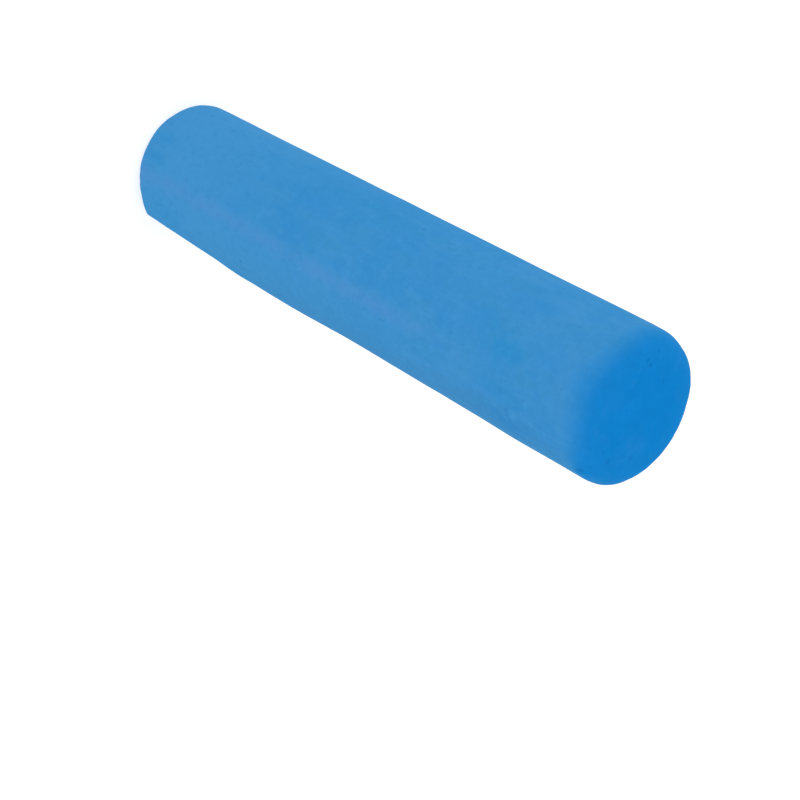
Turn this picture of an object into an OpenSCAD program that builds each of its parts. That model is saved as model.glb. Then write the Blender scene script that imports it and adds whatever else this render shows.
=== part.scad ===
// A thick stick of cast chalk, standing on its narrow end.
// Origin: centre of the narrow end face. +Z runs up the axis to the wide end.

/* [Stick] */
// Length from end face to end face
stick_l = 100; // [60:1:140]
// Diameter at the narrow end, before its edge is rounded
narrow_d = 21.2; // [16:0.1:23]
// Diameter at the wide end, before its edge is rounded
wide_d = 23.4; // [23:0.1:30]

/* [Rounded edges] */
// Radius of the small rounding at the narrow end
narrow_edge_r = 1.0; // [0.5:0.1:3]
// Radius of the full rounding at the wide end
wide_edge_r = 3.1; // [1:0.1:6]

/* [Worn flat] */
// Depth that has been rubbed off the side at the narrow end
flat_depth = 0.75; // [0.3:0.05:1.5]
// Height at which the worn flat runs out up the side
flat_l = 22; // [10:1:40]
// Direction that the worn flat faces, in degrees from +X
flat_turn = 0; // [0:5:355]

/* [Worn corner] */
// How far in from the rim the worn corner reaches across the narrow end face
corner_reach = 3.1; // [1.5:0.1:5]
// How far up the side the worn corner reaches
corner_rise = 1.65; // [0.8:0.05:4]
// Direction that the worn corner faces, in degrees from +X
corner_turn = 330; // [0:5:355]

/* [Hidden] */
$fn = 128;
narrow_r = narrow_d / 2;
wide_r = wide_d / 2;
// Draft of the side: how much the radius grows for each millimetre of height
draft = (wide_r - narrow_r) / stick_l;
draft_angle = atan(draft);
// The worn flat leans outward from the floor, where it is deepest, to where it runs out
flat_lean = atan((flat_depth + draft * flat_l) / flat_l);
// The worn corner slopes up from the end face to the side
corner_slope = atan(corner_rise / corner_reach);
// Margin by which a cutting block stands clear of the stick
clear = 2;
// Distance across a block that covers the whole width of the stick
block_w = wide_d + 2 * clear;

chalk_blue = [0.23, 0.56, 0.80];

// Radius of the unrounded side at a height
function side_r(z) = narrow_r + draft * z;

// Centre, in the half-profile, of a rounding of radius r that touches the side at its own height z
function rounding_centre(r, z) = [side_r(z) - r / cos(draft_angle), z];

// Point where that rounding meets the sloping side
function side_tangent(r, z) = rounding_centre(r, z) + r * [cos(draft_angle), -sin(draft_angle)];

// The sliver between a sharp corner of the half-profile and its rounding
module corner_sliver(r, z, end_z) {
    centre = rounding_centre(r, z);
    difference() {
        polygon([[centre[0], end_z], [side_r(end_z), end_z], side_tangent(r, z)]);
        translate(centre)
            circle(r = r);
    }
}

// Half of the section along the axis: x is the radius and y is the height
module half_profile() {
    difference() {
        polygon([[0, 0], [narrow_r, 0], [wide_r, stick_l], [0, stick_l]]);
        corner_sliver(narrow_edge_r, narrow_edge_r, 0);
        corner_sliver(wide_edge_r, stick_l - wide_edge_r, stick_l);
    }
}

// The block that the worn flat takes off the side, from below the floor to above its run-out
module flat_waste() {
    rotate([0, 0, flat_turn])
        translate([narrow_r - flat_depth, 0, 0])
            rotate([0, flat_lean, 0])
                translate([0, -block_w / 2, -clear])
                    cube([clear, block_w, flat_l + 2 * clear]);
}

// The block that the worn corner takes off the rim of the narrow end
module corner_waste() {
    rotate([0, 0, corner_turn])
        translate([narrow_r - corner_reach, 0, 0])
            rotate([0, -corner_slope, 0])
                translate([-clear, -block_w / 2, -block_w])
                    cube([block_w, block_w, block_w]);
}

// The whole stick: the cast body, less what wear has taken off its narrow end
module chalk_stick() {
    color(chalk_blue)
        difference() {
            rotate_extrude()
                half_profile();
            flat_waste();
            corner_waste();
        }
}

chalk_stick();
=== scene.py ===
# %% [markdown]
# # A thick stick of cast chalk
#
# The object is one piece: plaster and pigment are poured into a tapered mould, and the dry stick is
# pushed out. Its charm is in small things: a gentle taper, a soft rounding at the wide end, a corner
# and a side that use has rubbed flat, pinholes left by air bubbles, and a matte skin that is a little
# dusty on the side and deeper in colour on the end. The paler side also carries a painted sheen, and
# the deeper end a painted shade.
#
# The first step loads the measured model. Everything that follows is fitted to it, so the finished
# stick keeps its size and its place.

# %% Load the measured stick
import math

import bmesh
import bpy
from mathutils import Color, Matrix, Vector


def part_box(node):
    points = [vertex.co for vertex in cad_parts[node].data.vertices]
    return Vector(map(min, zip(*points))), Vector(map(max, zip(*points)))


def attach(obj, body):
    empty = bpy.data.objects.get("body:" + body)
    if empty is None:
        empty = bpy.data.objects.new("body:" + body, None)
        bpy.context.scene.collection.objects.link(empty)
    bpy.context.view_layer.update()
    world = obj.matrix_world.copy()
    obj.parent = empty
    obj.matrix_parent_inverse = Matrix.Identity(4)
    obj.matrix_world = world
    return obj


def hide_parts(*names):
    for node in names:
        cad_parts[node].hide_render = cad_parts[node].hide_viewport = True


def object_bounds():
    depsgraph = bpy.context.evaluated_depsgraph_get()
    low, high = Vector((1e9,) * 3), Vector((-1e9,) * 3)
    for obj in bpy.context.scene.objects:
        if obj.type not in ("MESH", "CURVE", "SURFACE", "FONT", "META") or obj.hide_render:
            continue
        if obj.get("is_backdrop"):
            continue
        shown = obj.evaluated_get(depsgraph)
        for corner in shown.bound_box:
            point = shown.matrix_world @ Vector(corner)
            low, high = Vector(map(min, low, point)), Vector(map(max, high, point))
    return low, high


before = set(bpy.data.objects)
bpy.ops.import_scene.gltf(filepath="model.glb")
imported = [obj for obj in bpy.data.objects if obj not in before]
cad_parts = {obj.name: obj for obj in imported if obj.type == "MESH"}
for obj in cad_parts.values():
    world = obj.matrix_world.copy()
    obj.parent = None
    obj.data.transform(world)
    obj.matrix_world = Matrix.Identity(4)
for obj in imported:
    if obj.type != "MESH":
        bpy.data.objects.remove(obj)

measured_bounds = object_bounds()
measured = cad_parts["chalk_stick"]
print("pieces in the frame:", sorted(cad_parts))

# %% [markdown]
# ## Sizes
#
# A few sizes drive the whole stick. The length and the wide radius are read from the measured model's
# box, and the narrow radius from the points near its foot. The rest are workshop sizes: the rounding of
# each end and what wear has taken off. They are in metres, as everything in Blender is.

# %% Sizes of the stick
MM = 0.001
low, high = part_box("chalk_stick")
stick_length = high.z - low.z
wide_radius = (high.x - low.x) / 2
narrow_edge = 1.0 * MM
wide_edge = 3.1 * MM
foot_height = narrow_edge + 0.05 * MM
narrow_radius = max(math.hypot(v.co.x, v.co.y) for v in measured.data.vertices if v.co.z < foot_height)
flat_depth = 0.75 * MM
flat_length = 22 * MM
corner_reach = 3.1 * MM
corner_rise = 1.65 * MM
corner_turn = math.radians(330)
print(f"length {stick_length / MM:.1f} mm, radius {narrow_radius / MM:.2f} to {wide_radius / MM:.2f} mm")


# %% Find a place on the skin
def on_skin(turn, height, inset=0.0):
    """A point on the side, in millimetres: its turn in degrees, its height, and how far in it lies."""
    slope = (wide_radius - narrow_radius) / stick_length
    radius = narrow_radius / MM + slope * height - inset
    turn = math.radians(turn)
    return Vector((radius * math.cos(turn), radius * math.sin(turn), height))


print("half-way up the front:", [round(c, 2) for c in on_skin(-86, 50)])

# %% [markdown]
# ## Small tools for node trees
#
# Geometry Nodes and shader nodes share their arithmetic, noise and mixing nodes. A node tree written in
# a script gets long, so these helpers keep each step to one line: `add` places a node, sets its options
# and feeds its inputs with numbers or with links, and the rest are short names for common nodes. A trial
# tree shows that they work, and is thrown away.

# %% Place a node and feed it
def add(tree, kind, inputs=None, **settings):
    """Place one node, choose its settings, and feed each named or numbered input."""
    made = tree.nodes.new(kind)
    for name, value in settings.items():
        setattr(made, name, value)
    for key, value in (inputs or {}).items():
        socket = made.inputs[key]
        if isinstance(value, bpy.types.NodeSocket):
            tree.links.new(value, socket)
        else:
            socket.default_value = value
    return made


trial = bpy.data.node_groups.new("trial", "ShaderNodeTree")
trial_sum = add(trial, "ShaderNodeMath", {0: 2.0, 1: 3.0}, operation="ADD")
print("a trial node:", trial_sum.operation, [socket.default_value for socket in trial_sum.inputs[:2]])


# %% Arithmetic on numbers and on vectors
def calc(tree, operation, *values):
    """One sum on numbers, such as MULTIPLY or MINIMUM."""
    return add(tree, "ShaderNodeMath", dict(enumerate(values)), operation=operation).outputs[0]


def vector(tree, operation, *values):
    """One sum on vectors. Dot products and lengths come out as numbers."""
    made = add(tree, "ShaderNodeVectorMath", dict(enumerate(values)), operation=operation)
    plain = operation in ("DOT_PRODUCT", "LENGTH", "DISTANCE")
    return made.outputs["Value" if plain else "Vector"]


def scaled(tree, source, factor):
    """A vector times one number."""
    return add(tree, "ShaderNodeVectorMath", {0: source, "Scale": factor}, operation="SCALE").outputs[0]


def joined(tree, x, y, z):
    """A vector from three numbers."""
    return add(tree, "ShaderNodeCombineXYZ", {0: x, 1: y, 2: z}).outputs[0]


def split(tree, source):
    """The three numbers of a vector."""
    return add(tree, "ShaderNodeSeparateXYZ", {0: source}).outputs


trial_length = vector(trial, "LENGTH", joined(trial, trial_sum.outputs[0], 0.0, 1.0))
trial_double = scaled(trial, trial_length, 2.0)
print("a length comes out as:", trial_length.type, "and a vector as:", trial_double.type)


# %% Soft steps, cloudy noise and mixed colours
MIX_BASE, MIX_TOP, MIXED = 6, 7, 2
NOISE_MIDDLE = 0.5
BLACK = (0.0, 0.0, 0.0, 1.0)
WHITE = (1.0, 1.0, 1.0, 1.0)


def fade(tree, value, start, end, low=0.0, high=1.0):
    """A smooth step from low to high while value runs from start to end."""
    inputs = {"Value": value, "From Min": start, "From Max": end, "To Min": low, "To Max": high}
    return add(tree, "ShaderNodeMapRange", inputs, interpolation_type="SMOOTHSTEP").outputs[0]


def noise(tree, where, size, detail=2.0, rough=0.5):
    """Cloudy noise whose blotches are about size across, in the unit of where. It stays near one half."""
    inputs = {"Vector": where, "Scale": 1 / size, "Detail": detail, "Roughness": rough}
    return add(tree, "ShaderNodeTexNoise", inputs).outputs[0]


def centred(tree, cloud):
    """The same noise, moved down so that it swings both ways round nothing."""
    return calc(tree, "SUBTRACT", cloud, NOISE_MIDDLE)


def blend(tree, factor, base, top):
    """Base colour, with top over it where factor is 1."""
    inputs = {0: factor, MIX_BASE: base, MIX_TOP: top}
    return add(tree, "ShaderNodeMix", inputs, data_type="RGBA").outputs[MIXED]


cloudy = fade(trial, noise(trial, joined(trial, 0.0, 0.0, 1.0), size=3.0), start=0.4, end=0.6)
mixed = blend(trial, cloudy, BLACK, WHITE)
print("the mix comes out as:", mixed.type, "and the trial tree has", len(trial.nodes), "nodes")
bpy.data.node_groups.remove(trial)

# %% [markdown]
# ## Effects that shape and colour share
#
# A pinhole should be a dent in the mesh, a dark speck in the colour and a dip in the fine bump, all in
# the same place. So each effect is a recipe that works in both kinds of tree. It is run twice, and makes
# one node group for Geometry Nodes and one for the shader. Both hold the same nodes and read the same
# position in millimetres.

# %% A node group with named sockets
def open_group(kind, inputs, output):
    """A new node group, with the sockets where its inputs arrive and where its output leaves.

    An input that is None is a vector, and any other is a number with that value to start with.
    """
    group = bpy.data.node_groups.new("effect", kind)
    for socket, value in inputs.items():
        flavour = "NodeSocketVector" if value is None else "NodeSocketFloat"
        made = group.interface.new_socket(socket, in_out="INPUT", socket_type=flavour)
        if value is not None:
            made.default_value = value
    group.interface.new_socket(output, in_out="OUTPUT", socket_type="NodeSocketFloat")
    entry = add(group, "NodeGroupInput").outputs
    leave = add(group, "NodeGroupOutput").inputs
    return group, entry, leave


# %% Run a recipe for both kinds of tree, and place the group it makes
KINDS = {"shape": "GeometryNodeTree", "colour": "ShaderNodeTree"}
effects = {}


def keep_effect(name, recipe):
    """Run one recipe for shapes and once more for colours, and keep both groups."""
    for use, kind in KINDS.items():
        effects[use, name] = recipe(kind)
        effects[use, name].name = f"{name}_for_{use}"
        print(effects[use, name].name, "has", len(effects[use, name].nodes), "nodes")


def effect(tree, use, name, inputs):
    """Place one of the shared groups in a tree and return its single output."""
    kind = "GeometryNodeGroup" if use == "shape" else "ShaderNodeGroup"
    made = add(tree, kind, node_tree=effects[use, name])
    for socket, value in inputs.items():
        if isinstance(value, bpy.types.NodeSocket):
            tree.links.new(value, made.inputs[socket])
        else:
            made.inputs[socket].default_value = value
    return made.outputs[0]


# %% Pinholes: round air bubbles that the surface cuts through
PATTERN_START = (0.0, 0.0, 31.0)
SMALLEST_SHARE = 0.45
HOLLOW_WALL = 0.7


def pinhole_group(kind):
    """Bubbles sit at random in the whole body, so the surface cuts them at all sizes, as in a real cast."""
    inputs = {"Position": None, "Spacing": 3.0, "Radius": 0.5, "Share": 0.3}
    group, entry, leave = open_group(kind, inputs, "Depth")
    per_mm = calc(group, "DIVIDE", 1.0, entry["Spacing"])
    where = vector(group, "ADD", entry["Position"], PATTERN_START)
    cell = add(group, "ShaderNodeTexVoronoi", {"Vector": where, "Scale": per_mm})
    distance = calc(group, "MULTIPLY", cell.outputs["Distance"], entry["Spacing"])
    dice = split(group, cell.outputs["Color"])
    share_of_radius = fade(group, dice[1], start=0.0, end=1.0, low=SMALLEST_SHARE)
    radius = calc(group, "MULTIPLY", entry["Radius"], share_of_radius)
    inside = calc(group, "SUBTRACT", 1.0, calc(group, "DIVIDE", distance, radius))
    hollow = fade(group, inside, start=0.0, end=HOLLOW_WALL)
    chosen = calc(group, "LESS_THAN", dice[0], entry["Share"])
    group.links.new(calc(group, "MULTIPLY", hollow, chosen), leave["Depth"])
    return group


keep_effect("pinholes", pinhole_group)


# %% Rub streaks: long faint marks along the stick
def streak_group(kind):
    """Noise that is squeezed along Z, so that its blotches come out as long marks up the side."""
    inputs = {"Position": None, "Width": 1.5, "Stretch": 14.0}
    group, entry, leave = open_group(kind, inputs, "Streak")
    x, y, z = split(group, scaled(group, entry["Position"], calc(group, "DIVIDE", 1.0, entry["Width"])))
    where = joined(group, x, y, calc(group, "DIVIDE", z, entry["Stretch"]))
    group.links.new(noise(group, where, size=1.0, detail=3.0, rough=0.55), leave["Streak"])
    return group


keep_effect("streaks", streak_group)

# %% Dabs: one soft, ragged spot at a chosen place
TEAR_SIZE = 1.8


def dab_group(kind):
    """A spot that reaches so many millimetres across and along the stick, and fades to its border."""
    inputs = {"Position": None, "Centre": None, "Across": 2.0, "Along": 2.0, "Ragged": 0.5}
    group, entry, leave = open_group(kind, inputs, "Mask")
    offset = vector(group, "SUBTRACT", entry["Position"], entry["Centre"])
    reach = joined(group, entry["Across"], entry["Across"], entry["Along"])
    reach = vector(group, "LENGTH", vector(group, "DIVIDE", offset, reach))
    torn = centred(group, noise(group, entry["Position"], TEAR_SIZE, detail=3.0))
    reach = calc(group, "MULTIPLY_ADD", torn, entry["Ragged"], reach)
    group.links.new(fade(group, reach, start=1.0, end=0.0), leave["Mask"])
    return group


keep_effect("dab", dab_group)

# %% [markdown]
# ## The shape: a grid rolled into a stick
#
# The stick is a lathe form, but a plain revolve can't carry wear that is on one side only. So the tree
# starts from a flat grid. Across it runs the turn round the axis, and along it runs the way over the
# foot, up the side and across the top. Each point is first put on a sharp-edged tapered rod, then
# sanded: the edges are rounded over, the worn flat and the worn corner are planed off, and last comes
# the fine relief of the skin. This keeps an even mesh, which catches light well.

# %% The tree and its named sizes
SHAPE_SIZES = {
    "Length": stick_length, "Narrow Radius": narrow_radius, "Wide Radius": wide_radius,
    "Narrow Edge": narrow_edge, "Wide Edge": wide_edge,
    "Flat Depth": flat_depth, "Flat Length": flat_length,
    "Corner Reach": corner_reach, "Corner Rise": corner_rise, "Corner Turn": corner_turn,
}
shape = bpy.data.node_groups.new("cast_stick", "GeometryNodeTree")
size_sockets = {name: shape.interface.new_socket(name, in_out="INPUT", socket_type="NodeSocketFloat")
                for name in SHAPE_SIZES}
finish_socket = shape.interface.new_socket("Finish", in_out="INPUT", socket_type="NodeSocketMaterial")
shape.interface.new_socket("Stick", in_out="OUTPUT", socket_type="NodeSocketGeometry")
size = add(shape, "NodeGroupInput").outputs
print("named sizes of the tree:", ", ".join(SHAPE_SIZES))

# %% Draft: the radius grows evenly from the narrow end to the wide end
growth = calc(shape, "SUBTRACT", size["Wide Radius"], size["Narrow Radius"])
draft = calc(shape, "DIVIDE", growth, size["Length"])


def side_radius(height):
    """Radius of the unworn side at a height."""
    return calc(shape, "MULTIPLY_ADD", draft, height, size["Narrow Radius"])


draft_angle = math.degrees(math.atan2(wide_radius - narrow_radius, stick_length))
print(f"draft of the side: {draft_angle:.2f} degrees")

# %% Grid: turn runs across it, travel runs over the foot, the side and the top
TURNS = 288
RINGS = 330
HALF_GRID = 0.5
grid = add(shape, "GeometryNodeMeshGrid", {"Vertices X": TURNS + 1, "Vertices Y": RINGS})
across, along, _ = split(shape, add(shape, "GeometryNodeInputPosition").outputs[0])
angle = calc(shape, "MULTIPLY", calc(shape, "ADD", across, HALF_GRID), 2 * math.pi)
cosine, sine = calc(shape, "COSINE", angle), calc(shape, "SINE", angle)
both_ends = calc(shape, "ADD", size["Narrow Radius"], size["Wide Radius"])
whole_way = calc(shape, "ADD", both_ends, size["Length"])
travel = calc(shape, "MULTIPLY", calc(shape, "ADD", along, HALF_GRID), whole_way)
print(f"grid: {TURNS} steps round the axis and {RINGS} rings")

# %% Sharp rod: out along the foot, up the side and back to the axis
height = calc(shape, "MAXIMUM", calc(shape, "SUBTRACT", travel, size["Narrow Radius"]), 0.0)
height = calc(shape, "MINIMUM", height, size["Length"])
radius = calc(shape, "MINIMUM", travel, side_radius(height))
radius = calc(shape, "MINIMUM", radius, calc(shape, "SUBTRACT", whole_way, travel))
print("nodes up to the sharp rod:", len(shape.nodes))

# %% [markdown]
# ### Round the edges over
#
# Think of a ball of the edge's radius rolling inside the corner. Each point near the corner is pushed to
# the ball's surface: find the nearest point of a smaller inner rod, and step out from it by the radius.
# Away from the corners the step leads straight back to where the point was. A cast edge is never quite
# even, so the rounding of the wide end swings a little as it goes round. The noise stays within about a
# quarter of one half, so a swing of 0.32 makes the radius grow and shrink by some 8 percent.

# %% Round over
EDGE_SWING = 0.32
SWING_SIZE = 0.9
swing = noise(shape, joined(shape, cosine, sine, 0.0), SWING_SIZE, detail=1.0)
swing = calc(shape, "MULTIPLY_ADD", centred(shape, swing), EDGE_SWING, 1.0)
upper = calc(shape, "GREATER_THAN", height, calc(shape, "MULTIPLY", size["Length"], 0.5))
more_edge = calc(shape, "SUBTRACT", calc(shape, "MULTIPLY", size["Wide Edge"], swing), size["Narrow Edge"])
edge = calc(shape, "MULTIPLY_ADD", more_edge, upper, size["Narrow Edge"])
inner_radius = calc(shape, "MINIMUM", radius, calc(shape, "SUBTRACT", side_radius(height), edge))
inner_height = calc(shape, "MAXIMUM", height, edge)
inner_height = calc(shape, "MINIMUM", inner_height, calc(shape, "SUBTRACT", size["Length"], edge))
inner_point = joined(shape, inner_radius, 0.0, inner_height)
outward = vector(shape, "SUBTRACT", joined(shape, radius, 0.0, height), inner_point)
step = scaled(shape, vector(shape, "NORMALIZE", outward), edge)
radius, _, height = split(shape, vector(shape, "ADD", inner_point, step))
rolled = joined(shape, calc(shape, "MULTIPLY", radius, cosine),
                calc(shape, "MULTIPLY", radius, sine), height)
print(f"edges: {wide_edge / MM:.1f} mm at the wide end, {narrow_edge / MM:.1f} mm at the narrow end")

# %% [markdown]
# ### Plane off what use has worn away
#
# A stick that has been drawn with is flat where it met the ground. Each worn place is a plane, given by
# one point on it and by its outward normal. Points that lie outside the plane are pushed back onto it.
# A smooth maximum in place of a hard one leaves the soft border that rubbing leaves.

# %% Plane
BORDER = 0.12 * MM


def plane_off(points, on_plane, normal):
    """Push points that lie beyond a plane back onto it."""
    normal = vector(shape, "NORMALIZE", normal)
    beyond = vector(shape, "DOT_PRODUCT", vector(shape, "SUBTRACT", points, on_plane), normal)
    beyond = calc(shape, "SMOOTH_MAX", beyond, 0.0, BORDER)
    return vector(shape, "SUBTRACT", points, scaled(shape, normal, beyond))


print(f"the border of a worn place is soft over {BORDER / MM:.2f} mm")

# %% The worn flat on the side, and the worn corner of the foot
flat_foot = calc(shape, "SUBTRACT", size["Narrow Radius"], size["Flat Depth"])
flat_spread = calc(shape, "MULTIPLY_ADD", draft, size["Flat Length"], size["Flat Depth"])
flat_normal = joined(shape, size["Flat Length"], 0.0, calc(shape, "MULTIPLY", flat_spread, -1.0))
worn = plane_off(rolled, joined(shape, flat_foot, 0.0, 0.0), flat_normal)

facing_x, facing_y = calc(shape, "COSINE", size["Corner Turn"]), calc(shape, "SINE", size["Corner Turn"])
corner_foot = calc(shape, "SUBTRACT", size["Narrow Radius"], size["Corner Reach"])
corner_point = joined(shape, calc(shape, "MULTIPLY", facing_x, corner_foot),
                      calc(shape, "MULTIPLY", facing_y, corner_foot), 0.0)
corner_normal = joined(shape, calc(shape, "MULTIPLY", facing_x, size["Corner Rise"]),
                       calc(shape, "MULTIPLY", facing_y, size["Corner Rise"]),
                       calc(shape, "MULTIPLY", size["Corner Reach"], -1.0))
worn = plane_off(worn, corner_point, corner_normal)
print(f"worn flat {flat_depth / MM:.2f} mm deep, {flat_length / MM:.0f} mm long;",
      f"worn corner {corner_reach / MM:.1f} mm in, {corner_rise / MM:.2f} mm up")

# %% Put the grid there, and close its seam and its two poles
WELD = 0.002 * MM
stick = grid.outputs["Mesh"]
stick = add(shape, "GeometryNodeSetPosition", {"Geometry": stick, "Position": worn}).outputs[0]
stick = add(shape, "GeometryNodeMergeByDistance", {"Geometry": stick, "Distance": WELD}).outputs[0]
print("nodes up to the worn stick:", len(shape.nodes))

# %% [markdown]
# ### The relief of the skin
#
# Cast chalk looks smooth, but its side is never a true cone: it has low swells, long rub marks,
# pinholes and a slightly crumbly rim at the wide end, where the narrow end has worn smooth. All of them
# are heights in millimetres along the surface's own normal. Noise alone gives an even field, so the few
# bulges and hollows that shape the outline are placed one by one.

# %% Heights of the relief, in millimetres
SWELL, SWELL_SIZE = 0.10, 12.0
CALM_FROM, CALM_TO, CALM_SHARE = 60, 92, 0.3
RUB = 0.04
HOLE_DEPTH = 0.22
HOLES = {"Spacing": 4.2, "Radius": 0.55, "Share": 0.16}

spot = add(shape, "GeometryNodeInputPosition").outputs[0]
spot_mm = scaled(shape, spot, 1 / MM)
spot_x, spot_y, spot_z = split(shape, spot_mm)


def both_ways(value, amount):
    """Noise that swings both ways, by about the amount."""
    return calc(shape, "MULTIPLY", centred(shape, value), 2 * amount)


swells = both_ways(noise(shape, spot_mm, SWELL_SIZE), SWELL)
calm = fade(shape, spot_z, CALM_FROM, CALM_TO, low=1.0, high=CALM_SHARE)
swells = calc(shape, "MULTIPLY", swells, calm)
rubs = both_ways(effect(shape, "shape", "streaks", {"Position": spot_mm}), RUB)
holes = effect(shape, "shape", "pinholes", {"Position": spot_mm, **HOLES})
holes = calc(shape, "MULTIPLY", holes, HOLE_DEPTH)
print(f"swells {SWELL} mm, rub marks {RUB} mm, pinholes up to {HOLE_DEPTH} mm deep")

# %% A crumbly band round the wide end
CRUMB, CRUMB_SIZE = 0.07, 1.5
RIM_BAND, RIM_CORE = 1.8, 0.3
RIM_INSET = 0.9
from_axis = vector(shape, "LENGTH", joined(shape, spot_x, spot_y, 0.0))
profile = joined(shape, from_axis, 0.0, spot_z)
wide_rim = joined(shape, wide_radius / MM - RIM_INSET, 0.0, stick_length / MM - RIM_INSET)
rim = fade(shape, vector(shape, "DISTANCE", profile, wide_rim), RIM_BAND, RIM_CORE)
crumbs = fade(shape, noise(shape, spot_mm, CRUMB_SIZE, detail=3.0), start=0.5, end=0.75)
crumbs = calc(shape, "MULTIPLY", calc(shape, "MULTIPLY", crumbs, rim), CRUMB)
relief = calc(shape, "ADD", calc(shape, "ADD", swells, rubs), calc(shape, "ADD", holes, crumbs))
print(f"crumbs up to {CRUMB} mm deep, within {RIM_BAND} mm of the rim")

# %% Bulges and hollows, placed one by one: turn, height, inset, half width, half length, depth
HOLLOWS = {
    "full corner of the foot": (-105, 0.8, 0.2, 4.0, 4.0, -0.11),
    "rubbed corner of the foot": (-67, 0.8, 0.2, 4.0, 4.0, 0.12),
    "rubbed back of the foot": (-158, 0.8, 0.2, 4.0, 4.0, 0.06),
    "shoulder of the worn flat": (2, 21, 0.0, 5.0, 5.0, -0.09),
    "bulge above the worn flat": (2, 32, 0.0, 6.0, 14.0, -0.20),
    "hollow half-way up": (2, 53, 0.0, 6.0, 14.0, 0.08),
    "bulge below the wide end": (2, 84, 0.0, 5.0, 9.0, -0.10),
    "bulge at the back": (-174, 90, 0.0, 6.0, 16.0, -0.07),
    "full corner of the rim": (26, 98.4, 0.4, 5.0, 4.0, -0.14),
    "rubbed corner of the rim": (178, 98.0, 0.3, 5.0, 4.0, 0.09),
    "full edge of the rim": (144, 99.0, 0.8, 5.0, 4.0, -0.13),
    "soft edge of the rim": (106, 99.3, 1.1, 4.0, 3.0, 0.07),
    "full edge beside it": (58, 99.2, 0.9, 4.5, 3.0, -0.07),
}
for turn, up_side, inset, half_width, half_length, depth in HOLLOWS.values():
    where = {"Position": spot_mm, "Centre": on_skin(turn, up_side, inset), "Ragged": 0.0,
             "Across": half_width, "Along": half_length}
    relief = calc(shape, "MULTIPLY_ADD", effect(shape, "shape", "dab", where), depth, relief)
print("bulges and hollows:", len(HOLLOWS))

# %% Nicks in the end, on its rim and on the side: turn, height, inset, radius, share of the full depth
NICKS = (
    (-14, 98.1, 0.3, 0.95, 1.0), (-43, 98.4, 0.4, 0.5, 0.2), (-142, 100, 3.4, 0.5, 1.0),
    (-147, 100, 4.4, 0.55, 0.8), (30, 100, 5.0, 0.75, 0.65), (-6, 100, 3.6, 0.65, 0.7),
    (-155, 100, 2.4, 0.5, 0.6), (176, 100, 6.2, 0.6, 0.4), (13, 100, 9.8, 0.6, 0.4),
    (-22, 100, 3.8, 0.6, 0.5), (-38, 85, 0.0, 0.6, 0.45), (-51, 84, 0.0, 0.7, 0.35),
    (-44, 87, 0.0, 0.8, 0.35), (-136, 12, 0.0, 0.6, 0.5), (-138, 30, 0.0, 0.6, 0.5),
    (-72, 72.5, 0.0, 0.6, 0.4), (-50, 9.5, 0.0, 0.6, 0.4), (150, 64, 0.0, 0.7, 0.6),
    (60, 22, 0.0, 0.8, 0.7), (105, 93, 0.0, 0.7, 0.6),
)
NICK_DEPTH = 0.18
NICK_RAGGED = 0.8


def all_nicks(tree, use, position):
    """One mask for all the nicks."""
    whole = 0.0
    for turn, up_side, inset, nick_radius, share in NICKS:
        where = {"Position": position, "Centre": on_skin(turn, up_side, inset), "Ragged": NICK_RAGGED,
                 "Across": nick_radius, "Along": nick_radius}
        mask = effect(tree, use, "dab", where)
        whole = calc(tree, "MAXIMUM", whole, calc(tree, "MULTIPLY", mask, share))
    return whole


relief = calc(shape, "MULTIPLY_ADD", all_nicks(shape, "shape", spot_mm), NICK_DEPTH, relief)
print("nicks:", len(NICKS))

# %% Press the relief in, and let nothing stand proud of the mould
normal = add(shape, "GeometryNodeInputNormal").outputs[0]
press = scaled(shape, normal, calc(shape, "MULTIPLY", relief, -MM))
stick = add(shape, "GeometryNodeSetPosition", {"Geometry": stick, "Offset": press}).outputs[0]
now_x, now_y, now_z = split(shape, spot)
now_radius = vector(shape, "LENGTH", joined(shape, now_x, now_y, 0.0))
shrink = calc(shape, "DIVIDE", size["Wide Radius"], calc(shape, "MAXIMUM", now_radius, size["Narrow Edge"]))
shrink = calc(shape, "MINIMUM", shrink, 1.0)
now_z = calc(shape, "MINIMUM", calc(shape, "MAXIMUM", now_z, 0.0), size["Length"])
held = joined(shape, calc(shape, "MULTIPLY", now_x, shrink), calc(shape, "MULTIPLY", now_y, shrink), now_z)
stick = add(shape, "GeometryNodeSetPosition", {"Geometry": stick, "Position": held}).outputs[0]
print(f"the mould holds the skin within a radius of {wide_radius / MM:.2f} mm")

# %% Smooth shading, one plain mesh, and the finish
stick = add(shape, "GeometryNodeSetShadeSmooth", {"Geometry": stick}).outputs[0]
stick = add(shape, "GeometryNodeRealizeInstances", {"Geometry": stick}).outputs[0]
stick = add(shape, "GeometryNodeSetMaterial", {"Geometry": stick, "Material": size["Finish"]}).outputs[0]
add(shape, "NodeGroupOutput", {"Stick": stick})
print("nodes in the shape tree:", len(shape.nodes))

# %% [markdown]
# ## The finish
#
# The side of the stick has been handled: it is a soft sky blue with a trace of dust in it, most near the
# narrow end. The end is cleaner and much deeper in colour. Part of both is painted light: the side's
# paler blue carries a painted sheen, the end's deeper blue a painted shade, and the dust near the narrow
# end also lightens the foot where the floor shades it. A painted picture would show this too, but it
# needs an unwrapped mesh and blurs when seen close. Here every mark is worked out from the place on the
# stick, so it stays sharp and goes right round, without a seam. The steps of colour are small, because
# chalk that is marked too strongly looks like stone. Colours are written as they are read on a screen,
# from 0 to 255, and turned into the linear values that a shader works in.

# %% Paints
def paint(red, green, blue):
    """A screen colour, as the linear colour that shaders use."""
    screen = Color((red / 255, green / 255, blue / 255))
    return (*screen.from_srgb_to_scene_linear(), 1.0)


# The side blues are paler partly as a painted sheen, and the end blues further down are deeper partly as
# painted shade.
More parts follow.
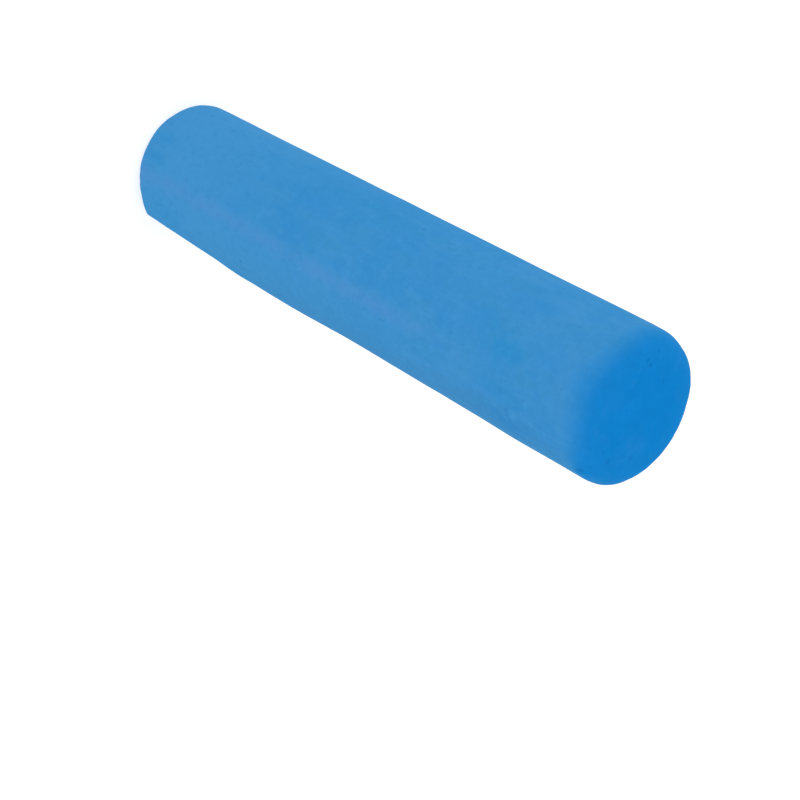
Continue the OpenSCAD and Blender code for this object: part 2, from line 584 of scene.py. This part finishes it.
SIDE_BLUE = paint(58, 140, 199)
SIDE_PALE = paint(68, 144, 200)
SIDE_DEEP = paint(49, 136, 198)
SIDE_DULL = paint(57, 140, 193)
SIDE_CLEAR = paint(58, 139, 204)
SHADE = paint(53, 133, 190)
GLEAM = paint(64, 147, 205)
DUST_AND_PAINTED_LIGHT = paint(67, 145, 201)
SHADOWED_BLUE = paint(60, 132, 186)
LILAC = paint(78, 142, 201)
TEAL = paint(45, 138, 197)
SHADE_SPOT_BLUE = paint(47, 130, 196)
HOLE_BLUE = paint(26, 104, 174)
END_BLUE = paint(11, 128, 204)
END_PALE = paint(31, 131, 205)
END_SHADE = paint(11, 124, 198)
END_GLEAM = paint(14, 132, 210)
END_HOLE = paint(3, 104, 176)
print("the side's blue in linear values:", [round(c, 3) for c in SIDE_BLUE[:3]])

# %% Where we are on the stick, in millimetres
chalk = bpy.data.materials.new("cast_chalk")
chalk.use_nodes = True
skin = chalk.node_tree
skin.nodes.clear()
place = add(skin, "ShaderNodeTexCoord").outputs["Object"]
place_mm = scaled(skin, place, 1 / MM)
place_x, place_y, place_z = split(skin, place_mm)
off_axis = vector(skin, "LENGTH", joined(skin, place_x, place_y, 0.0))
print("the finish reads", place.name, "coordinates, with", round(1 / MM), "mm to the metre")


# %% Ways to lay a paint: where a cloud is thick, where a mask says so, or in soft spots
def tinge(base, top, cloud, start, full, strength):
    """Top paint over base where a cloud passes start, at its strength once the cloud reaches full."""
    return blend(skin, fade(skin, cloud, start, full, high=strength), base, top)


def lay(base, top, mask, strength):
    """Top paint over base, as strongly as the mask times the strength."""
    return blend(skin, calc(skin, "MULTIPLY", mask, strength), base, top)


def dab(turn, up_side, half_width, half_length, ragged, inset=0.0):
    """One soft spot on the side, or on the end when its height is the stick's length."""
    where = {"Position": place_mm, "Centre": on_skin(turn, up_side, inset), "Ragged": ragged,
             "Across": half_width, "Along": half_length}
    return effect(skin, "colour", "dab", where)


def dabs(base, top, places, ragged):
    """One paint in several spots, each with its turn, height, half width, half length and strength."""
    for turn, up_side, half_width, half_length, strength in places:
        base = lay(base, top, dab(turn, up_side, half_width, half_length, ragged), strength)
    return base


print("ways to lay a paint:", tinge.__name__, lay.__name__, dabs.__name__)

# %% [markdown]
# ### Clouds
#
# Pigment never mixes quite evenly into plaster. One noise in two or three sizes gives clouds that read
# as cast chalk, where one size alone looks like camouflage. Handling draws the small clouds out along
# the stick, so their height is divided before the noise is read.

# %% Clouds in three sizes: the first two move the red, the last one the blue
DRAWN_OUT = 2.4
BROAD_SIZE, CLOSE_SIZE, TINT_SIZE = 13.0, 2.2, 3.6
TINT_START = (40.0, 0.0, 0.0)
long_mm = joined(skin, place_x, place_y, calc(skin, "DIVIDE", place_z, DRAWN_OUT))
broad = noise(skin, place_mm, BROAD_SIZE)
close = noise(skin, long_mm, CLOSE_SIZE, detail=4.0, rough=0.6)
tint = noise(skin, vector(skin, "ADD", long_mm, TINT_START), TINT_SIZE, detail=4.0, rough=0.6)
side_colour = tinge(SIDE_BLUE, SIDE_DEEP, broad, start=0.50, full=0.34, strength=0.6)
side_colour = tinge(side_colour, SIDE_PALE, broad, start=0.52, full=0.68, strength=0.6)
side_colour = tinge(side_colour, SIDE_DEEP, close, start=0.50, full=0.32, strength=0.6)
side_colour = tinge(side_colour, SIDE_PALE, close, start=0.52, full=0.72, strength=0.6)
side_colour = tinge(side_colour, SIDE_DULL, tint, start=0.50, full=0.34, strength=0.6)
side_colour = tinge(side_colour, SIDE_CLEAR, tint, start=0.50, full=0.66, strength=0.35)
print(f"clouds of about {BROAD_SIZE}, {CLOSE_SIZE} and {TINT_SIZE} mm")

# %% [markdown]
# ### Marks of handling, and painted light and shade
#
# Fingers leave dust at the end they hold, other sticks in the box rub off on this one, and loose powder
# clings here and there. Some of the marks are painted light and shade as well: the dust at the narrow
# end also lightens the foot where the floor shades it, one dust band along the lower side is a painted
# reflection of the sticks that lay beside it, and the darker bands and the dark spot on that side are
# their painted shade. These marks lie at places of their own, so each kind is a short list of dabs:
# its turn round the axis in degrees, its height up the side, its half width and half length in
# millimetres, and how strong it is. A ragged border keeps them from looking like stamped ovals.

# %% Dust and painted light: paler towards the narrow end, and in broad bands up the side
DUST_AND_LIFT_TOP, DUST_AND_LIFT_FULL = 38, 8
DUST_AND_REFLECTION_BANDS = ((-36, 34, 9.0, 60, 0.7), (110, 70, 8.0, 40, 0.7), (170, 25, 7.0, 45, 0.7))
# Dust and painted light: the side grows paler towards the narrow end, which also lightens the foot where
# the floor shades it.
side_colour = lay(side_colour, DUST_AND_PAINTED_LIGHT, fade(skin, place_z, DUST_AND_LIFT_TOP, DUST_AND_LIFT_FULL), strength=0.8)
# The band low on the side at -36 degrees is a painted reflection of coloured light from sticks that lay
# beside it; the others are dust.
side_colour = dabs(side_colour, DUST_AND_PAINTED_LIGHT, DUST_AND_REFLECTION_BANDS, ragged=0.5)
print(f"dust up to {DUST_AND_LIFT_TOP} mm from the narrow end, and in {len(DUST_AND_REFLECTION_BANDS)} bands")

# %% Painted shade: darker, duller bands along the side it lay on, where sticks beside it shaded it, and one on the back
SHADOWED_BANDS = ((-5, 50, 10.0, 80, 0.8), (-22, 80, 5.0, 22, 0.7), (85, 50, 5.0, 50, 0.5))
# Painted shade: these bands darken and dull the blue where sticks lying beside it shaded the side.
side_colour = dabs(side_colour, SHADOWED_BLUE, SHADOWED_BANDS, ragged=0.6)
print("soiled bands:", len(SHADOWED_BANDS))

# %% Lilac smears, rubbed off another stick, and broken up by a noise of their own
SMEARS = (
    (-64, 16, 2.2, 40, 0.65), (-62, 53, 2.4, 30, 0.68), (-61, 0, 2.6, 5, 0.9), (35, 60, 3.0, 38, 0.6),
    (128, 38, 2.5, 44, 0.6),
)
BROKEN_START = (0.0, 60.0, 0.0)
BROKEN_SIZE = 5.0
broken = noise(skin, vector(skin, "ADD", place_mm, BROKEN_START), BROKEN_SIZE, detail=3.0)
broken = fade(skin, broken, start=0.36, end=0.54, low=0.5, high=1.15)
for turn, up_side, half_width, half_length, strength in SMEARS:
    smear = calc(skin, "MULTIPLY", dab(turn, up_side, half_width, half_length, ragged=0.6), broken)
    side_colour = lay(side_colour, LILAC, smear, strength)
print("lilac smears:", len(SMEARS))

# %% Damp-looking patches, where the skin has kept its first colour, and one spot of painted shade low on the side by the wide end
PATCHES = (
    (-81, 83, 3.4, 7.0, 0.9), (-86, 79, 2.4, 3.5, 0.5), (-50, 86, 3.0, 5.0, 0.4), (-84, 59, 2.5, 4.0, 0.35),
    (-80, 3, 2.2, 4.0, 0.6), (-97, 3, 1.6, 4.0, 0.5), (-34, 7, 4.5, 9.0, 0.45), (-130, 48, 5.0, 20, 0.25),
    (-127, 24, 3.0, 5.0, 0.3), (-127, 71, 3.0, 6.0, 0.3), (140, 80, 4.0, 8.0, 0.7), (70, 44, 3.5, 9.0, 0.6),
)
SHADE_SPOTS = ((-25, 85, 3.8, 7.0, 0.65),)
side_colour = dabs(side_colour, TEAL, PATCHES, ragged=1.2)
# Painted shade: one darker spot low on the side near the wide end, where a stick lying beside it shaded it.
side_colour = dabs(side_colour, SHADE_SPOT_BLUE, SHADE_SPOTS, ragged=0.8)
print("patches:", len(PATCHES), "and scuffs:", len(SHADE_SPOTS))

# %% Flecks of loose powder: turn, height, radius
FLECKS = (
    (-79, 29, 0.9), (-74, 66, 0.7), (-136, 17, 0.7), (-36, 86.5, 1.3), (-90, 15, 0.8), (-38, 90, 0.7),
    (-51, 89, 0.8), (-116, 24, 1.1), (48, 35, 0.9), (20, 71, 0.8), (120, 52, 0.9), (165, 30, 0.8),
)
FLECK_STRENGTH = 0.8
round_flecks = [(turn, up_side, radius, radius, FLECK_STRENGTH) for turn, up_side, radius in FLECKS]
side_colour = dabs(side_colour, GLEAM, round_flecks, ragged=0.9)
print("flecks of powder:", len(FLECKS), "and nodes so far in the finish:", len(skin.nodes))

# %% [markdown]
# ### Worn faces
#
# On the worn flat and the worn corner the skin is rubbed through, so the chalk is fresher there and
# finely scratched. Their finish can't follow a painted border, because the faces move when a size
# changes. So the shader measures how far each point lies below the same two planes that cut the shape.

# %% Find the worn faces
WORN_FROM, WORN_TO = -0.35, -0.1


def near_plane(on_plane, facing):
    """1 where a point lies on a worn plane, and 0 deeper inside. Both vectors are in millimetres."""
    facing = facing.normalized()
    beyond = calc(skin, "SUBTRACT", vector(skin, "DOT_PRODUCT", place_mm, facing), on_plane.dot(facing))
    return fade(skin, beyond, WORN_FROM, WORN_TO)


corner_way = Vector((math.cos(corner_turn), math.sin(corner_turn), 0))
flat_rise = on_skin(0, flat_length / MM) - on_skin(0, 0, flat_depth / MM)
worn_flat = near_plane(on_skin(0, 0, flat_depth / MM), Vector((flat_rise.z, 0, -flat_rise.x)))
worn_corner = near_plane(corner_way * (narrow_radius - corner_reach) / MM,
                         corner_way * corner_rise - Vector((0, 0, corner_reach)))
worn_faces = calc(skin, "MAXIMUM", worn_flat, worn_corner)
print(f"the worn flat leans {math.degrees(math.atan2(flat_rise.x, flat_rise.z)):.1f} degrees from upright")

# %% Scratch them along the stick
SCRATCHES = {"Width": 0.35, "Stretch": 24.0}
scratches = effect(skin, "colour", "streaks", {"Position": place_mm, **SCRATCHES})
scratches = calc(skin, "MULTIPLY", fade(skin, scratches, start=0.48, end=0.66), worn_faces)
side_colour = lay(side_colour, TEAL, worn_faces, strength=0.6)
side_colour = lay(side_colour, GLEAM, scratches, strength=0.7)
print(f"scratches about {SCRATCHES['Width']} mm wide")

# %% [markdown]
# ### Rub marks all over
#
# A stick that rolls about in a box gets long faint streaks and short scuffs, all along its axis. Both
# come from the squeezed noise that gives the shape its rub marks, each with a width and a stretch of
# its own. The scuffs are stronger where the stick is handled most, which one more soft cloud decides.

# %% Rub streaks, long and faint, short scuffs between them, and a fine mottle
STREAKS = {"Width": 1.3, "Stretch": 14.0}
SHORT_SCUFFS = {"Width": 0.5, "Stretch": 3.0}
HANDLED_START = (0.0, 0.0, 80.0)
HANDLED_SIZE = 5.0
FINE_SIZE = 1.2
streak = effect(skin, "colour", "streaks", {"Position": place_mm, **STREAKS})
side_colour = tinge(side_colour, SIDE_PALE, streak, start=0.54, full=0.78, strength=0.4)
scuff = effect(skin, "colour", "streaks", {"Position": place_mm, **SHORT_SCUFFS})
scuff_dark = fade(skin, scuff, start=0.56, end=0.76)
scuff_pale = fade(skin, scuff, start=0.44, end=0.24)
handled = noise(skin, vector(skin, "ADD", long_mm, HANDLED_START), HANDLED_SIZE)
handled = fade(skin, handled, start=0.4, end=0.62, low=0.2, high=0.85)
side_colour = lay(side_colour, SHADE, scuff_dark, handled)
side_colour = lay(side_colour, GLEAM, scuff_pale, handled)
fine = noise(skin, place_mm, FINE_SIZE, detail=3.0, rough=0.6)
side_colour = tinge(side_colour, SHADE, fine, start=0.50, full=0.30, strength=0.3)
side_colour = tinge(side_colour, GLEAM, fine, start=0.50, full=0.70, strength=0.3)
print(f"streaks {STREAKS['Width']} mm wide, scuffs {SHORT_SCUFFS['Width']} mm wide, mottle {FINE_SIZE} mm")

# %% [markdown]
# ### Where the side turns into the end
#
# The rounding is where the two colours meet. One number tells how far a point is along the way from the
# side, over the rounding, to the end: it rises by one for each millimetre up, and for each millimetre
# inwards. Two fades of that number give a border that starts quickly and ends slowly. A pale, rubbed
# ring lies just before it.

# %% The way over the rounding
CLOSE_RAGGED, BROAD_RAGGED = 1.6, 3.0
EARLY_BORDERS = (
    (-26, 98.5, 4.0, 5.0, 1.2), (-11, 99, 3.5, 3.5, 2.3), (-84, 96.5, 5.0, 5.0, 1.1),
    (-150, 98.5, 3.5, 5.0, 0.4),
)
to_top = calc(skin, "SUBTRACT", place_z, (stick_length - wide_edge) / MM)
to_axis = calc(skin, "SUBTRACT", off_axis, (wide_radius - wide_edge) / MM)
way = calc(skin, "SUBTRACT", to_top, to_axis)
way = calc(skin, "MULTIPLY_ADD", centred(skin, close), CLOSE_RAGGED, way)
way = calc(skin, "MULTIPLY_ADD", centred(skin, broad), BROAD_RAGGED, way)
for turn, up_side, half_width, half_length, lead in EARLY_BORDERS:
    way = calc(skin, "MULTIPLY_ADD", dab(turn, up_side, half_width, half_length, ragged=0.8), lead, way)
print(f"the rounding starts {(stick_length - wide_edge) / MM:.1f} mm up;",
      f"the deep blue starts early in {len(EARLY_BORDERS)} places")

# %% From the way to the masks of the two ends
QUICK_START, QUICK_END = -4.6, 1.6
SLOW_START, SLOW_END, SLOW_FROM = 0.0, 6.0, 0.88
FOOT_TOP = 0.6
quick = fade(skin, way, QUICK_START, QUICK_END)
# The slow fade keeps some of the side's paler blue over the rounding: a painted highlight where the
# rounding catches more light.
slow = fade(skin, way, SLOW_START, SLOW_END, low=SLOW_FROM)
end_mask = calc(skin, "MAXIMUM", calc(skin, "MULTIPLY", quick, slow), fade(skin, place_z, FOOT_TOP, 0.0))
print(f"the border is {QUICK_END - QUICK_START:.1f} mm wide, and the foot's {FOOT_TOP} mm")

# %% A pale ring before the rounding
RING_START, RING_FULL, RING_FADES, RING_END = -8.0, -5.0, -4.6, -2.6
RING_STRENGTH = 0.15
ring = calc(skin, "MULTIPLY", fade(skin, way, RING_START, RING_FULL), fade(skin, way, RING_END, RING_FADES))
ring = calc(skin, "MULTIPLY", ring, fade(skin, broad, start=0.35, end=0.6))
side_colour = lay(side_colour, LILAC, ring, RING_STRENGTH)
print(f"the ring is {RING_END - RING_START:.1f} mm wide")

# %% The deep blue end, partly painted shade, with a few paler patches: turn, inset, half width, ragged, strength
END_PATCHES = ((26, 6.5, 4.1, 1.2, 0.75), (3, 4.4, 2.2, 1.0, 0.4), (-82, 5.5, 3.5, 1.2, 0.35))
PATCH_DEPTH = 4.0
end_colour = tinge(END_BLUE, END_PALE, close, start=0.52, full=0.74, strength=0.6)
for turn, inset, half_width, ragged, strength in END_PATCHES:
    patch = dab(turn, stick_length / MM, half_width, PATCH_DEPTH, ragged, inset)
    end_colour = lay(end_colour, END_PALE, patch, strength)
end_colour = tinge(end_colour, END_SHADE, fine, start=0.50, full=0.30, strength=0.25)
end_colour = tinge(end_colour, END_GLEAM, fine, start=0.50, full=0.70, strength=0.25)
end_colour = tinge(end_colour, END_SHADE, tint, start=0.50, full=0.34, strength=0.4)
end_colour = tinge(end_colour, END_GLEAM, tint, start=0.50, full=0.66, strength=0.45)
# The end colour over the side colour: the end's deeper blue is partly painted shade, the side's paler blue
# partly painted sheen.
base = blend(skin, end_mask, side_colour, end_colour)
print("paler patches on the end:", len(END_PATCHES))

# %% [markdown]
# ### Holes and grain
#
# Little light reaches the bottom of a hole in chalk, so pinholes and nicks are darker inside. They come
# from the recipes that dent the mesh, so they fall in the same places. The specks are too small and too
# many for the mesh, and are left to colour and bump. Last comes the grain of the powder itself, which is
# finer still. One noise moves its colour, its roughness and its bump together, as real grains do.

# %% Pinholes, specks and nicks are darker inside
SPECKS = {"Spacing": 2.6, "Radius": 0.42, "Share": 0.22}
SPECK_DARK, HOLE_DARK, NICK_DARK = 0.13, 0.25, 0.5
holes_seen = effect(skin, "colour", "pinholes", {"Position": place_mm, **HOLES})
specks = effect(skin, "colour", "pinholes", {"Position": place_mm, **SPECKS})
nicks_seen = all_nicks(skin, "colour", place_mm)
dark = calc(skin, "MULTIPLY", specks, SPECK_DARK)
dark = calc(skin, "MAXIMUM", dark, calc(skin, "MULTIPLY", holes_seen, HOLE_DARK))
dark = calc(skin, "MAXIMUM", dark, calc(skin, "MULTIPLY", nicks_seen, NICK_DARK))
base = blend(skin, dark, base, blend(skin, end_mask, HOLE_BLUE, END_HOLE))
print(f"specks of {SPECKS['Radius']} mm and pinholes of up to {HOLES['Radius']} mm radius")

# %% Powder grain: it moves the colour, the roughness and the bump together
GRAIN_SIZE = 0.28
GRAIN_HEIGHT, STREAK_HEIGHT = 0.05, 0.04
SCUFF_DEPTH, SPECK_DEPTH, SCRATCH_DEPTH = 0.02, 0.06, 0.04
BUMP_STRENGTH = 0.6
grain = noise(skin, place_mm, GRAIN_SIZE, detail=4.0, rough=0.65)
powder = blend(skin, end_mask, GLEAM, END_PALE)
base = tinge(base, powder, grain, start=0.5, full=0.8, strength=0.2)
roughness = fade(skin, grain, start=0.3, end=0.7, low=0.82, high=0.98)
height_map = calc(skin, "MULTIPLY_ADD", grain, GRAIN_HEIGHT, calc(skin, "MULTIPLY", streak, STREAK_HEIGHT))
height_map = calc(skin, "MULTIPLY_ADD", scuff_dark, -SCUFF_DEPTH, height_map)
height_map = calc(skin, "MULTIPLY_ADD", specks, -SPECK_DEPTH, height_map)
height_map = calc(skin, "MULTIPLY_ADD", scratches, -SCRATCH_DEPTH, height_map)
bump = add(skin, "ShaderNodeBump", {"Height": height_map, "Strength": BUMP_STRENGTH, "Distance": MM})
print(f"grain of {GRAIN_SIZE} mm, {GRAIN_HEIGHT} mm high")

# %% The shader itself: chalk is matte, with hardly any shine
surface = add(skin, "ShaderNodeBsdfPrincipled", {
    "Base Color": base, "Roughness": roughness, "Normal": bump.outputs[0],
    "Diffuse Roughness": 0.2, "Specular IOR Level": 0.02,
})
add(skin, "ShaderNodeOutputMaterial", {"Surface": surface.outputs[0]})
print("nodes in the chalk finish:", len(skin.nodes))

# %% [markdown]
# ## Make the stick
#
# The tree is put on an empty mesh as a modifier and given its sizes. Then the result is taken out as a
# plain mesh, so that it is ordinary geometry with no modifier left to run.

# %% Run the tree once and keep its mesh
carrier = bpy.data.objects.new("stick_carrier", bpy.data.meshes.new("stick_carrier"))
bpy.context.scene.collection.objects.link(carrier)
maker = carrier.modifiers.new("cast", "NODES")
maker.node_group = shape
for name, value in SHAPE_SIZES.items():
    maker[size_sockets[name].identifier] = value
maker[finish_socket.identifier] = chalk
finished = carrier.evaluated_get(bpy.context.evaluated_depsgraph_get())
stick_mesh = bpy.data.meshes.new_from_object(finished)
bpy.data.objects.remove(carrier)
stick_mesh.name = "cast_chalk_stick"
cast_stick = bpy.data.objects.new("cast_chalk_stick", stick_mesh)
bpy.context.scene.collection.objects.link(cast_stick)
triangles = sum(len(p.vertices) - 2 for p in stick_mesh.polygons)
print(f"stick mesh: {len(stick_mesh.vertices)} points, {triangles} triangles")

# %% Is it one closed skin that faces outwards?
CM = 10 * MM
check = bmesh.new()
check.from_mesh(stick_mesh)
open_edges = sum(1 for e in check.edges if not e.is_manifold)
volume = check.calc_volume(signed=True)
check.free()
print(f"open edges {open_edges}, volume {volume / CM ** 3:.2f} cubic centimetres")

# %% Tell the frame what this piece is
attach(cast_stick, "root")
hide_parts("chalk_stick")
print(cast_stick.name, "stands in for the measured stick")

# %% [markdown]
# ## A plain studio
#
# The stick stands on a pale floor in even, soft light. A white sky lights it from all round, and one
# large soft lamp at its side gives the form a little shade. A plain white floor would come out grey
# under so soft a sky, so this one also glows. That throws light back up at the stick, as a sheet of
# white card does.

# %% Floor
FLOOR_SIZE = 6.0
FLOOR_GREY = 0.4
FLOOR_GLOW = 0.72
FLOOR_ROUGHNESS = 0.95
half = FLOOR_SIZE / 2
floor_mesh = bpy.data.meshes.new("studio_floor")
floor_corners = [(-half, -half, 0), (half, -half, 0), (half, half, 0), (-half, half, 0)]
floor_mesh.from_pydata(floor_corners, [], [(0, 1, 2, 3)])
floor = bpy.data.objects.new("studio_floor", floor_mesh)
bpy.context.scene.collection.objects.link(floor)
floor_paint = bpy.data.materials.new("studio_floor")
floor_paint.use_nodes = True
floor_shader = floor_paint.node_tree.nodes["Principled BSDF"].inputs
floor_shader["Base Color"].default_value = (FLOOR_GREY, FLOOR_GREY, FLOOR_GREY, 1)
floor_shader["Roughness"].default_value = FLOOR_ROUGHNESS
floor_shader["Specular IOR Level"].default_value = 0.0
floor_shader["Emission Color"].default_value = WHITE
floor_shader["Emission Strength"].default_value = FLOOR_GLOW
floor_mesh.materials.append(floor_paint)
floor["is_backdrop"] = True
print(f"floor {FLOOR_SIZE:.0f} m square")

# %% Sky and lamp
SKY_STRENGTH = 1.02
sky = bpy.data.worlds.new("white_sky")
sky.use_nodes = True
sky_shader = sky.node_tree.nodes["Background"].inputs
sky_shader["Color"].default_value = WHITE
sky_shader["Strength"].default_value = SKY_STRENGTH
bpy.context.scene.world = sky
bpy.context.scene.view_settings.view_transform = "Standard"


def soft_lamp(name, azimuth, elevation, distance, lamp_size, power):
    """A square area lamp that faces the middle of the stick."""
    lamp = bpy.data.lights.new(name, "AREA")
    lamp.size = lamp_size
    lamp.energy = power
    made = bpy.data.objects.new(name, lamp)
    turn, lift = math.radians(azimuth), math.radians(elevation)
    away = Vector((math.cos(turn) * math.cos(lift), math.sin(turn) * math.cos(lift), math.sin(lift)))
    made.location = away * distance + Vector((0, 0, stick_length / 2))
    made.rotation_euler = away.to_track_quat("Z", "Y").to_euler()
    bpy.context.scene.collection.objects.link(made)
    return made


side_lamp = soft_lamp("side_lamp", azimuth=-118, elevation=35, distance=0.9, lamp_size=0.7, power=0.2)
print("lamp at", [round(c, 2) for c in side_lamp.location])

# %% [markdown]
# ## The camera
#
# The camera looks down at the wide end and is rolled far over, so the standing stick seems to lie
# across the picture. Its place is worked out from where the middle of the stick falls in the picture,
# how far away it is, and the angles at which it is seen.

# %% Camera: how it looks at the stick
PICTURE = 800
FOCAL_PIXELS = 2930
STICK_MIDDLE_PIXEL = (397.9, 281.3)
STICK_DISTANCE = 0.4338
VIEW_TURN = math.radians(91.69)
VIEW_DOWN = math.radians(39.36)
ROLL = math.radians(120.24)

level = Vector((math.cos(VIEW_TURN), math.sin(VIEW_TURN), 0))
forward = level * math.cos(VIEW_DOWN) - Vector((0, 0, math.sin(VIEW_DOWN)))
level_right = forward.cross(Vector((0, 0, 1))).normalized()
level_up = level_right.cross(forward)
right = level_right * math.cos(ROLL) + level_up * math.sin(ROLL)
up = right.cross(forward)
metres_per_pixel = STICK_DISTANCE / FOCAL_PIXELS
shift_right, shift_down = ((pixel - PICTURE / 2) * metres_per_pixel for pixel in STICK_MIDDLE_PIXEL)
middle = Vector((0, 0, stick_length / 2))
eye = middle - forward * STICK_DISTANCE - right * shift_right + up * shift_down
print("camera at", [round(c, 3) for c in eye])

# %% Camera: put it there
SENSOR = 36.0
NEAR = 0.01
lens = bpy.data.cameras.new("camera")
lens.sensor_width = SENSOR
lens.lens = FOCAL_PIXELS / PICTURE * SENSOR
lens.clip_start = NEAR
camera = bpy.data.objects.new("camera", lens)
camera.matrix_world = Matrix((right, up, -forward)).transposed().to_4x4()
camera.location = eye
bpy.context.scene.collection.objects.link(camera)
bpy.context.scene.camera = camera
print(f"lens {lens.lens:.1f} mm")

# %% [markdown]
# ## The boxes
#
# The last step prints the box of the measured model and of the finished one.

# %% Sizes
finished_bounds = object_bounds()
for name, corners in (("measured", measured_bounds), ("finished", finished_bounds)):
    print(name, "box in mm:", [[round(c / MM, 2) for c in corner] for corner in corners])
